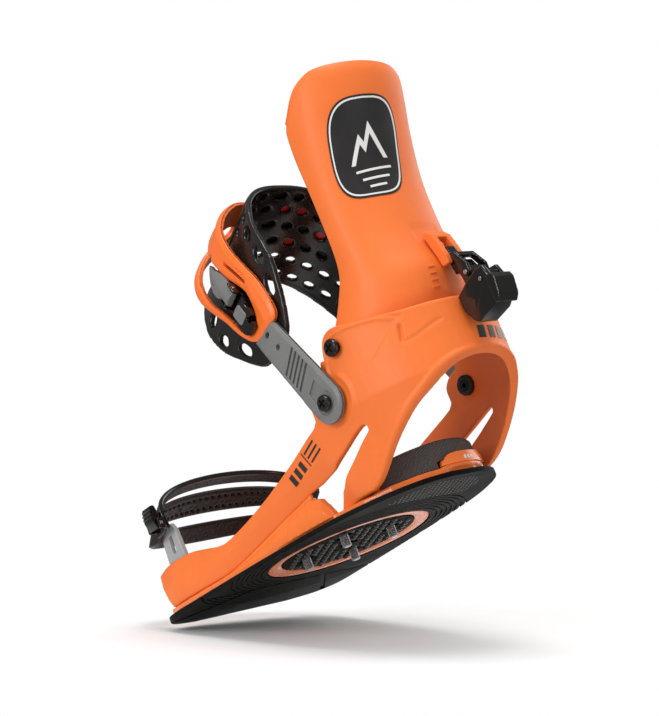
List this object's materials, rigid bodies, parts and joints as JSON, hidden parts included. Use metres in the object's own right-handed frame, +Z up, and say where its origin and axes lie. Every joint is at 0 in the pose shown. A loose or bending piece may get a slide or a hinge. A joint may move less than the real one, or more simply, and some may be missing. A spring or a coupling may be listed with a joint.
{
  "type": "snowboard strap binding",
  "caption": "Snowboard strap binding: board-mounted base with heel hoop, folding highback with lean lever, heel latch, ankle strap with ratchet, open toe cap strap and turning clamp disc.",
  "frame": {"origin": "centre of the clamp disc on the plane of the sole, where the binding meets the board", "axes": "+Z up off the board, -Y towards the toe, +Y towards the heel, +X towards the side with the strap adjuster"},
  "size_m": [0.1514, 0.3353, 0.2544],
  "materials": {
    "orange": "matte orange glass-filled nylon",
    "gloss_orange": "glossy orange nylon",
    "black": "satin black nylon",
    "grey": "satin grey nylon with a metallic fleck",
    "sole_rubber": "black grooved rubber",
    "foam": "dark grey moulded foam",
    "steel": "zinc-plated steel",
    "black_steel": "black coated steel"
  },
  "bodies": {
    "disc": {"mounting_disc": "black", "disc_screw_1": "steel", "disc_screw_2": "steel", "disc_screw_3": "steel", "disc_screw_4": "steel"},
    "base": {"chassis": "orange", "base_tray": "gloss_orange", "front_sole_pad": "sole_rubber", "rear_sole_pad": "sole_rubber", "heel_footbed": "foam", "heel_tray_screw_near": "steel", "heel_tray_screw_far": "steel", "toe_tray_screw_near": "steel", "toe_tray_screw_far": "steel", "hinge_bolt_near": "black_steel", "hinge_bolt_far": "black_steel", "ankle_bolt_near": "black_steel", "ankle_bolt_far": "black_steel", "ankle_nut_near": "black_steel", "ankle_nut_far": "black_steel", "toe_pin_near": "black_steel", "toe_pin_far": "black_steel", "latch_housing": "black", "latch_pin": "steel"},
    "toe_ramp_slide": {"toe_ramp": "orange", "toe_footbed": "foam"},
    "highback": {"highback_shell": "orange", "highback_pad": "foam", "lean_bracket": "orange"},
    "lean_carriage": {"lean_block": "black", "lean_pin": "steel"},
    "lean_lever": {"lean_lever": "black"},
    "latch_lever": {"latch_lever": "black"},
    "ankle_strap": {"ankle_connector": "grey", "ankle_ladder": "grey", "ankle_pad": "black", "ankle_exo_frame": "orange", "ankle_clip": "black", "adjuster_lever_pin": "steel", "ratchet_body": "black", "ratchet_lever_pin": "steel", "release_tab_pin": "steel"},
    "adjuster_lever": {"adjuster_lever": "grey"},
    "ratchet_lever": {"ratchet_lever": "black"},
    "release_tab": {"release_tab": "grey"},
    "toe_strap": {"toe_cap": "black", "toe_connector_near": "grey", "toe_connector_far": "grey", "toe_clip": "black", "toe_lever_pin": "steel"},
    "toe_lever": {"toe_lever": "black"}
  },
  "joints": [
    {"name": "stance_turn", "type": "hinge", "parent": "disc", "child": "base", "pos_m": [0, 0, 0], "axis": [0, 0, 1], "continuous": true},
    {"name": "ramp_slide", "type": "slide", "parent": "base", "child": "toe_ramp_slide", "axis": [0, -1, 0], "range_m": [0, 0.008]},
    {"name": "highback_fold", "type": "hinge", "parent": "base", "child": "highback", "pos_m": [0, 0.11, 0.089], "axis": [1, 0, 0], "range_deg": [0, 15]},
    {"name": "lean_slide", "type": "slide", "parent": "highback", "child": "lean_carriage", "axis": [0, 0, 1], "range_m": [0, 0.006]},
    {"name": "lean_lock", "type": "hinge", "parent": "lean_carriage", "child": "lean_lever", "pos_m": [-0.008, 0.1739, 0.1013], "axis": [-1, 0, 0], "range_deg": [0, 50]},
    {"name": "latch_flip", "type": "hinge", "parent": "base", "child": "latch_lever", "pos_m": [0, 0.1878, 0.09], "axis": [1, 0, 0], "range_deg": [0, 30]},
    {"name": "ankle_swing", "type": "hinge", "parent": "base", "child": "ankle_strap", "pos_m": [0, 0.094, 0.062], "axis": [1, 0, 0], "range_deg": [-2, 32]},
    {"name": "adjuster_flip", "type": "hinge", "parent": "ankle_strap", "child": "adjuster_lever", "pos_m": [0.06604, 0.0493, 0.15364], "axis": [0, 0.8988, 0.4384], "range_deg": [0, 60]},
    {"name": "ratchet_flip", "type": "hinge", "parent": "ankle_strap", "child": "ratchet_lever", "pos_m": [-0.0703, 0.05295, 0.14617], "axis": [0, -0.8988, -0.4384], "range_deg": [0, 55]},
    {"name": "release_press", "type": "hinge", "parent": "ankle_strap", "child": "release_tab", "pos_m": [-0.06162, 0.04251, 0.16758], "axis": [0, -0.8988, -0.4384], "range_deg": [0, 6], "stiffness_Nm_per_rad": 0.02},
    {"name": "toe_swing", "type": "hinge", "parent": "base", "child": "toe_strap", "pos_m": [0, -0.089, 0.024], "axis": [1, 0, 0], "range_deg": [-10, 16]},
    {"name": "toe_lever_flip", "type": "hinge", "parent": "toe_strap", "child": "toe_lever", "pos_m": [0.0732, -0.086, 0.0585], "axis": [0, 1, 0], "range_deg": [0, 50]}
  ]
}
